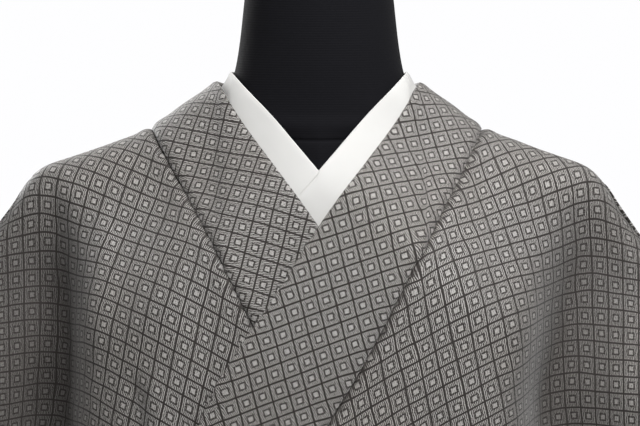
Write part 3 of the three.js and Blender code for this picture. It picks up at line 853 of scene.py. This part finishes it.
def chest_guide(face, side, across, height):
    """Weft direction: down and out at the chest, steeper past the arm's fold, level below."""
    out = np.abs(across)
    back = fade(height, BACK_SLOPE_UP) * fade(out, BACK_SLOPE_OUT)
    slope = CHEST_SLOPE * np.where(face < 0, 1, back)
    slope = mix(slope, SIDE_SLOPE, fade(out - valley(side, height), SIDE_SLOPE_OUT))
    angle = np.radians(slope * fade(height, SLOPE_UP))
    return stacked(side * np.cos(angle), 0, -np.sin(angle))


def relief_lift(points, height, distance, seed, depth, pucker):
    """Relief of a seam, flatter below the chest."""
    along = lengths_along(points, 0)[:, :1]
    share = np.where(height > DEEP_SEAM_FOOT, 1, LOW_SEAM_SHARE)
    return seam_relief(distance, along, seed, depth, pucker) * share


def tied_share(height):
    """How freely the cloth moves: hardly at all under the waist tie."""
    return 1 - TIE_HOLD * bell(height - TIE_HEIGHT, TIE_REACH)


def shell(
    node, points, lift, sign, weave=body_weave, thickness=0, guide=None, shade=None
):
    """A thin shell of cloth that stands for one solid."""
    moved = points + grid_normals(points, sign) * lift[..., None]
    thickness = thickness or bpy.context.scene.kimono_sizes.cloth_thickness
    cloth = flat_cloth(points, guide)
    return make_piece(node, moved, cloth, shared(weave), thickness, shade=shade)


def body_panel(node, side, folds):
    shares = crowded(96, BODY_CROWDS)
    steps = Curve([0, 1140, 1230, 1270, 1600], [11, 9, 5.5, 3.8, 3.2])
    spots_at = partial(body_spots, side)
    spots, points = cloth_grid(spots_at, len(SIDE_ROWS) - 1, steps, 0.35, shares)
    face, _, across, height = spots
    distance = lengths_along(points, 1)
    relief = relief_lift(points, height, distance, 1.3 + side, 2.6, 0.7)
    chest, back, skirt = (fold(across, height, rows) for rows in (folds, BACK_FOLDS, SKIRT_FOLDS))
    shape = np.where(face < 0, chest, back) + skirt * np.where(face < 0, 0.8, 1.0)
    calm = smooth((RIDGE["height"](across) - height) / CALM_BELOW_RIDGE)
    shape = shape * calm * fade(across, FOLDS_OUT)
    shape = (shape + 0.45 * uneven(points, side)) * fade(shares, FOLDS_EDGE)
    lift = overlap_lift(*spots) + relief + shape * tied_share(height)
    # Painted shade: the clefts beside the seams and the dip beside the arm are darkened in the
    # colour
    cleft_painted_shade = seam_shade(distance, lengths_along(points, 0)[:, :1], side) * fade(height, SHADE_UP)
    shade = np.maximum(np.minimum(cleft_painted_shade * 1.35, 1), painted_shade(*spots))
    return shell(node, points, lift, side, guide=chest_guide(*spots), shade=shade)


def okumi_panel(node, side):
    rows = [(z, x * underlap(side, z)) for x, z, *_ in OVERLAP_ROWS + FREE_EDGE_ROWS]
    top, edge = rows[0]
    tip = edge * OKUMI_TIP_DROP / (OKUMI_START - top)
    heights, edges = zip(*sorted([*rows, (OKUMI_START - OKUMI_TIP_DROP, tip)]))
    height = np.linspace(heights[0], heights[-1], OKUMI_ROWS)[:, None]
    edge = Curve(heights, edges)(height) + SEAM_GAP
    across = mix(edge, okumi_seam(height) - SEAM_GAP, crowded(40, OKUMI_CROWDS))
    height = height + 0 * across
    spots = (np.full((len(height), 1), -1), side, across, height)
    points = cloth_points(*spots)
    from_edge = lengths_along(points, 1)
    hem = relief_lift(points, height, from_edge, 4.1, 1.3, 0.4) * fade(height, FREE_EDGE_UP)
    seam = relief_lift(points, height, from_edge[:, -1:] - from_edge, 2.2, 1.3, 0.4)
    shape = 0.4 * uneven(points, side + 2.6) * tied_share(height)
    return shell(node, points, overlap_lift(*spots) + seam + hem + shape, side)


def band_spots(front, back, is_collar, s, shares):
    """Face, side, across and height along a band from the left front round to the right front."""
    s = s[:, None]
    t = len(back["low_x"].x) - 1 - np.abs(s)
    side = np.where(s < 0, 1, -1)
    ahead = t < 0
    index = arch_index(np.abs(t))
    row = read_rows(front, back, ahead, index)
    if is_collar:
        for x, z in (("low_x", "low_z"), ("edge_x", "edge_z")):
            row[x] = row[x] * np.where(ahead, underlap(side, row[z]), 1)
        row["low_x"] = row["low_x"] - ahead * SEAM_GAP
        row["low_z"] = row["low_z"] + ~ahead * NAPE_GAP
    low, edge = (RIDGE["height"](np.abs(row[key])) for key in ("low_x", "edge_x"))
    across = mix(row["low_x"], row["edge_x"], shares)
    sag = RIDGE["height"](np.abs(across)) - mix(low, edge, shares)
    height = mix(row["low_z"], row["edge_z"], shares) + np.clip(1 - index, 0, 1) * sag
    return np.where(ahead, -1, 1), side, across, height


def band_grid(front, back, is_collar, steps, shares):
    reach = len(front["low_x"].x) + len(back["low_x"].x) - 2
    return cloth_grid(partial(band_spots, front, back, is_collar), reach, steps, 0.5, shares)


def sleeve_path():
    """The sleeve's inner line from the shoulder ridge down, as curves over the distance."""
    rows = [r[:2] for r in SIDE_ROWS[: len(FRONT_ROWS)]] + SLEEVE_EDGE_ROWS[:1]
    rows = [(x + ARMHOLE_GAP[0], z + ARMHOLE_GAP[1]) for x, z in rows] + SLEEVE_EDGE_ROWS[1:]
    steps = np.hypot(*np.diff(np.array(rows, float), axis=0).T)
    distances = np.concatenate(([0], np.cumsum(steps)))
    return [Curve(distances, column) for column in zip(*rows)], distances[-1]


def sleeve_points(side, signed, outward):
    """Points of a folded sleeve: signed distances from the ridge, front ones below 0."""
    (path_x, path_z), total = sleeve_path()
    distance = np.abs(signed)[:, None]
    face = np.where(signed < 0, -1, 1)[:, None]
    along = distance / total
    outward = outward[None]
    over, chord = (mix(SIDE_ROWS[0][k], RIDGE_ROWS[-1][k], outward) for k in (0, 1))
    bow = (RIDGE["height"](over) - chord) * (1 - along)
    across = mix(path_x(distance), WRIST["x"](along), outward)
    height = mix(path_z(distance), WRIST["z"](along), outward) + bow
    arch = np.sqrt(1 - (1 - np.minimum(distance / 20, 1)) ** 2)
    room = (15 + 5 * np.sin(math.pi * along)) * arch * (1 - along**5)
    apart = np.minimum(distance, 1) * (1.2 + room)
    wave = SLEEVE_WAVE * smooth(along * 1.3) * np.sin(math.pi * (3.1 * outward + 0.25))
    own = RIDGE["y"](over) * (1 - 0.3 * along) + face * apart + wave
    joined = cloth_y(face, side, across, height)
    nearest = face * np.maximum(face * joined, SLEEVE_MOUTH * smooth(along * 3))
    y = mix(nearest, own, smooth(outward / SLEEVE_BLEND))
    x = stretched_x(side, across, height)
    return stacked(x, y, height), (face, side, across, height), along


def sleeve(node, side):
    total = sleeve_path()[1]
    half = paced(0, total, Curve([0, 30, 80, total], [2, 3, 6, 7]), 2001)
    signed = np.concatenate((-half[:0:-1], half))
    points, spots, along = sleeve_points(side, signed, crowded(56, SLEEVE_CROWDS))
    face, _, across, height = spots
    free = smooth(along * 4) * smooth((1 - along) * 8)
    shape = fold(across, height, SLEEVE_FOLDS) * np.where(face < 0, 1, -1)
    shape = shape + 0.5 * uneven(points, side * 2.3)
    relief = seam_relief(lengths_along(points, 1), lengths_along(points, 0)[:, :1], 3.3, 1.0, 0.3)
    attached = np.where(height > SLEEVE_EDGE_ROWS[0][1], 1, 0)
    lift = np.clip((shape + relief * attached) * free, -SLEEVE_LIFT_LIMIT, SLEEVE_LIFT_LIMIT)
    # Painted shade in the dip beside the arm
    return shell(node, points, lift, side, shade=painted_shade(*spots))


def oval(wave, power):
    return np.sign(wave) * np.abs(wave) ** power


def tie_points(angle, height, proud):
    """The waist tie's ring, one oval round every layer."""
    sine, cosine = np.sin(angle), np.cos(angle)
    lift = mix(TIE_BACK_LIFT, TIE_LIFT, smooth(0.8 - 1.4 * sine)) + proud
    power = 2 / TUBE_POWER
    x = (TUBE["half"](height) + lift) * oval(cosine, power)
    y = (facing(TUBE, sine, height) + lift) * oval(sine, power)
    return stacked(x, y, height)


def waist_tie():
    angle = np.linspace(0, 2 * math.pi, 241)[None]
    share = np.linspace(-0.5, 0.5, 17)[:, None]
    proud = 0.5 * np.cos(share * 9.4) - 0.3 + 0.25 * np.sin(angle * 17 + share * 5)
    points = tie_points(angle, TIE_HEIGHT + share * TIE_WIDTH, proud)
    cloth = stacked(share * TIE_WIDTH, lengths_along(points, 1))
    thickness = TIE_THICKNESS * METRE
    return make_piece("waist_tie", points, cloth, shared(tie_weave), thickness, True)


def tie_knot():
    latitude = np.linspace(0, math.pi, 41)[:, None]
    turn = np.linspace(0, 2 * math.pi, 73)[None]
    groove = 0.10 * bell(np.sin(turn + 0.9 * latitude), 0.22)
    radius = 1 - (groove + 0.05 * np.abs(np.sin(3 * turn + latitude))) * np.sin(latitude)
    flat = radius * np.sin(latitude)
    ball = stacked(flat * np.cos(turn), flat * np.sin(turn), radius * np.cos(latitude))
    front = float(TUBE["front"](TIE_HEIGHT)) + TIE_LIFT + TIE_THICKNESS / 2
    points = np.array([0, -front - KNOT_SIZE[1] - SEAT_GAP, TIE_HEIGHT]) + ball * KNOT_SIZE
    cloth = stacked(lengths_along(points, 0), lengths_along(points, 1))
    return make_piece("tie_knot", points, cloth, shared(tie_weave), ring=True)


def dress_form():
    """The form's cover, with a sewn seam round the neck that is lowest in front."""
    turn = np.linspace(0, 2 * math.pi, 145)[None]
    bottom, top = FORM_ROWS[0][0], FORM_ROWS[-1][0]
    steps = Curve([800, 1470, 1480, 1518, 1530, 1650], [9, 6, 0.9, 0.9, 3, 3])
    middle = paced(bottom, top, steps)
    cap = np.sin(np.linspace(0, math.pi / 2, 9)[:-1])
    height = np.concatenate((cap * 0 + bottom, middle, cap * 0 + top))[:, None]
    size = np.concatenate((cap, middle * 0 + 1, cap[::-1]))[:, None]
    sine, cosine = -np.cos(turn), np.sin(turn)
    power = 2 / FORM["power"](height)
    neck = NECK_SEAM + NECK_SEAM_RISE * (1 - np.cos(turn))
    inset = NECK_SEAM_DEPTH * bell(height - neck, 1.3)
    x = (FORM["half"](height) * size - inset) * oval(cosine, power)
    y = FORM["middle"](height) + (facing(FORM, sine, height) * size - inset) * oval(sine, power)
    points = stacked(x * (size > 0), y * (size > 0), height)
    shader = shared(form_jersey)
    return make_piece("dress_form", points, None, shader, ring=True, ending="_cover")


class KIMONO_OT_body(bpy.types.Operator):
    """Build the two body panels, each one length of cloth over the shoulder"""

    bl_idname = "kimono.body"
    bl_label = "Body panels"

    def execute(self, context):
        for node, side, folds in (
            ("body_left", 1, CHEST_FOLDS_LEFT),
            ("body_right", -1, CHEST_FOLDS_RIGHT),
        ):
            piece = body_panel(node, side, folds)
        return {"FINISHED"}


class KIMONO_OT_okumi(bpy.types.Operator):
    """Build the two narrow front panels"""

    bl_idname = "kimono.okumi"
    bl_label = "Okumi"

    def execute(self, context):
        for node, side in (("okumi_left", 1), ("okumi_right", -1)):
            piece = okumi_panel(node, side)
        return {"FINISHED"}


class KIMONO_OT_sleeves(bpy.types.Operator):
    """Build the two sleeves, each one folded length of cloth"""

    bl_idname = "kimono.sleeves"
    bl_label = "Sleeves"

    def execute(self, context):
        for node, side in (("sleeve_left", 1), ("sleeve_right", -1)):
            piece = sleeve(node, side)
        return {"FINISHED"}


class KIMONO_OT_collar(bpy.types.Operator):
    """Build the kimono's own collar band"""

    bl_idname = "kimono.collar"
    bl_label = "Collar"

    def execute(self, context):
        shares = crowded(44, COLLAR_CROWDS)
        steps = Curve([0, 1200, 1280, 1600], [7, 5, 3, 2.6])
        spots, points = band_grid(COLLAR_FRONT, COLLAR_BACK, True, steps, shares)
        height = spots[-1]
        distance = lengths_along(points, 1)
        from_edge = distance[:, -1:] - distance
        relief = relief_lift(points, height, distance, 5.2, 1.8, 0.3)
        shape = 0.35 * uneven(points, 3.1) * tied_share(height) - 1.3 * bell(from_edge, 2)
        lift = overlap_lift(*spots) + relief + shape
        thickness = context.scene.kimono_sizes.collar_thickness
        piece = shell("collar", points, lift, -1, band_weave, thickness=thickness)
        return {"FINISHED"}


class KIMONO_OT_inner_collar(bpy.types.Operator):
    """Build the white collar that shows inside the kimono's own"""

    bl_idname = "kimono.inner_collar"
    bl_label = "Inner collar"

    def execute(self, context):
        shares = crowded(24, INNER_CROWDS)
        steps = Curve([0, 1600], [INNER_COLLAR_MESH_STEP] * 2)
        spots, points = band_grid(INNER_FRONT, INNER_BACK, False, steps, shares)
        face, side, _, height = spots
        under = np.where((side < 0) & (face < 0), fade(height, INNER_UNDER_DOWN), 0)
        rise = 2 * np.clip(2 * shares - 1, 0, 1) * fade(height, INNER_RISE_UP)
        distance = lengths_along(points, 1)
        roll = -0.5 * bell(distance[:, -1:] - distance, 1.4)
        lift = rise - INNER_COLLAR_DEPTH - INNER_COLLAR_STEP * under + roll
        thickness = context.scene.kimono_sizes.inner_collar_thickness
        piece = shell("inner_collar", points, lift, -1, collar_weave, thickness)
        return {"FINISHED"}


class KIMONO_OT_tie(bpy.types.Operator):
    """Build the waist tie and its flat knot"""

    bl_idname = "kimono.tie"
    bl_label = "Waist tie"

    def execute(self, context):
        tie, knot = waist_tie(), tie_knot()
        return {"FINISHED"}


class KIMONO_OT_form(bpy.types.Operator):
    """Build the dress form's smooth jersey cover"""

    bl_idname = "kimono.form"
    bl_label = "Dress form"

    def execute(self, context):
        dress_form()
        return {"FINISHED"}


class KIMONO_OT_stand(bpy.types.Operator):
    """Finish the stand's pole and base"""

    bl_idname = "kimono.stand"
    bl_label = "Stand"

    def execute(self, context):
        for name in ("stand_pole", "stand_base"):
            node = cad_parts[name]
            node.data.materials.clear()
            node.data.materials.append(shared(stand_coat))
        return {"FINISHED"}


# Area lights: name, place, height of the aim, size and power
LIGHTS = [
    ("key", (0.36, -0.78, 2.45), 1.4, 0.55, 27.0),
    ("fill", (-2.4, -2.2, 1.9), 1.3, 1.2, 5.0),
    ("top", (0.1, 0.2, 3.4), 1.3, 1.2, 14.0),
    ("back", (-1.6, 2.4, 2.4), 1.1, 1.2, 70.0),
]


class KIMONO_OT_stage(bpy.types.Operator):
    """Set the floor, the soft lights and the camera"""

    bl_idname = "kimono.stage"
    bl_label = "Studio"

    def execute(self, context):
        scene, sizes = context.scene, context.scene.kimono_sizes
        mesh = bmesh.new()
        bmesh.ops.create_grid(mesh, x_segments=8, y_segments=8, size=sizes.floor_size / 2)
        bmesh.ops.translate(mesh, verts=mesh.verts, vec=(0, 0, -FLOOR_DROP))
        add_object("floor", mesh, shared(floor_paint))
        for name, place, aim, size, power in LIGHTS:
            light = bpy.data.lights.new(name, "AREA")
            light.shape, light.size, light.size_y, light.energy = "RECTANGLE", size, size, power
            lamp = bpy.data.objects.new(name, light)
            lamp.location = place
            towards = Vector((0, 0, aim)) - Vector(place)
            lamp.rotation_euler = towards.to_track_quat("-Z", "Y").to_euler()
            scene.collection.objects.link(lamp)
        world = bpy.data.worlds.new("studio")
        world.use_nodes = True
        background = next(n for n in world.node_tree.nodes if n.type == "BACKGROUND")
        background.inputs["Color"].default_value = plain(scene.kimono_colours.backdrop)
        seen = world.node_tree.nodes.new("ShaderNodeLightPath").outputs["Is Camera Ray"]
        strength = world.node_tree.nodes.new("ShaderNodeMapRange")
        strength.inputs["To Min"].default_value = sizes.ambient_share
        world.node_tree.links.new(seen, strength.inputs["Value"])
        world.node_tree.links.new(strength.outputs["Result"], background.inputs["Strength"])
        scene.world = world
        scene.view_settings.view_transform = "Standard"
        scene.view_settings.look = "None"
        camera = bpy.data.cameras.new("camera")
        camera.lens = camera.sensor_width * sizes.camera_distance / sizes.view_width
        camera.clip_end = 100
        viewer = bpy.data.objects.new("camera", camera)
        viewer.location = (CAMERA_SHIFT, -sizes.camera_distance, sizes.camera_height)
        viewer.rotation_euler = (math.pi / 2, 0, 0)
        scene.collection.objects.link(viewer)
        scene.camera = viewer
        return {"FINISHED"}


def length(name, description, default):
    return bpy.props.FloatProperty(
        name=name, description=description, default=default, min=0, unit="LENGTH", precision=4
    )


def factor(name, description, default, most=1):
    return bpy.props.FloatProperty(
        name=name, description=description, default=default, min=0, max=most
    )


def colour(name, description, default):
    return bpy.props.FloatVectorProperty(
        name=name, description=description, default=default, size=3, min=0, max=1, subtype="COLOR"
    )


class KimonoSizes(bpy.types.PropertyGroup):
    """Sizes that a user may change"""

    cloth_thickness: length("Cloth thickness", "Thickness of the woven cloth", 0.0016)
    collar_thickness: length("Collar thickness", "Thickness of the folded collar band", 0.0036)
    inner_collar_thickness: length(
        "Inner collar thickness", "Thickness of the white collar", 0.0016
    )
    lattice_weft: length("Lattice width", "Width of one rhombus along the weft", 0.0166)
    lattice_warp: length("Lattice length", "Length of one rhombus along the warp", 0.0184)
    thread_pitch: length("Thread pitch", "Distance between the dashes of the weave", 0.0012)
    # Strength of the painted shade beside the arms and in the seam clefts
    hollow_shade: factor("Hollow shade", "How much darker the cloth is beside the arms", 0.74)
    ambient_share: factor("Ambient share", "How much of the backdrop lights the cloth", 0.05)
    floor_glow: factor("Floor glow", "How brightly the pale floor is lit from within", 0.85, 2)
    floor_size: length("Floor size", "Side of the studio floor", 60.0)
    camera_distance: length("Camera distance", "Distance from the camera to the middle plane", 4.45)
    camera_height: length("Camera height", "Height of the camera", 1.4325)
    view_width: length("View width", "Width that the picture takes in at the object", 0.48)


class KimonoColours(bpy.types.PropertyGroup):
    """Colours that a user may change"""

    cloth_light: colour("Light thread", "Light thread of the lattice", (0.368, 0.356, 0.343))
    cloth_light_warm: colour("Warm light thread", "Its warmer patches", (0.345, 0.328, 0.308))
    cloth_dark: colour("Dark thread", "Dark thread of the lattice lines", (0.017, 0.013, 0.011))
    inner_collar: colour("Inner collar", "White collar cloth", (0.56, 0.556, 0.542))
    tie: colour("Tie", "Waist tie", (0.075, 0.065, 0.058))
    form: colour("Form cover", "Jersey of the dress form", (0.007, 0.007, 0.0088))
    metal: colour("Stand", "Metal of the stand", (0.022, 0.022, 0.024))
    floor: colour("Floor", "Studio floor", (0.72, 0.72, 0.72))
    backdrop: colour("Backdrop", "Studio background light", (0.99, 0.99, 1.0))


OPERATORS = (
    KIMONO_OT_stage,
    KIMONO_OT_form,
    KIMONO_OT_stand,
    KIMONO_OT_body,
    KIMONO_OT_okumi,
    KIMONO_OT_sleeves,
    KIMONO_OT_collar,
    KIMONO_OT_inner_collar,
    KIMONO_OT_tie,
)


class KIMONO_PT_panel(bpy.types.Panel):
    """Sidebar panel with every step and its sizes and colours"""

    bl_idname = "KIMONO_PT_panel"
    bl_label = "Kimono"
    bl_space_type = "VIEW_3D"
    bl_region_type = "UI"
    bl_category = "Kimono"

    def draw(self, context):
        for made in OPERATORS:
            self.layout.operator(made.bl_idname)
        for group in (context.scene.kimono_sizes, context.scene.kimono_colours):
            for name in group.__annotations__:
                self.layout.prop(group, name)


CLASSES = (KimonoSizes, KimonoColours, *OPERATORS, KIMONO_PT_panel)


def register():
    for made in CLASSES:
        bpy.utils.register_class(made)
    bpy.types.Scene.kimono_sizes = bpy.props.PointerProperty(type=KimonoSizes)
    bpy.types.Scene.kimono_colours = bpy.props.PointerProperty(type=KimonoColours)


def unregister():
    del bpy.types.Scene.kimono_colours
    del bpy.types.Scene.kimono_sizes
    for made in reversed(CLASSES):
        bpy.utils.unregister_class(made)


def main():
    register()
    for made in OPERATORS:
        group, step = made.bl_idname.split(".")
        getattr(getattr(bpy.ops, group), step)()


if __name__ == "__main__":
    main()
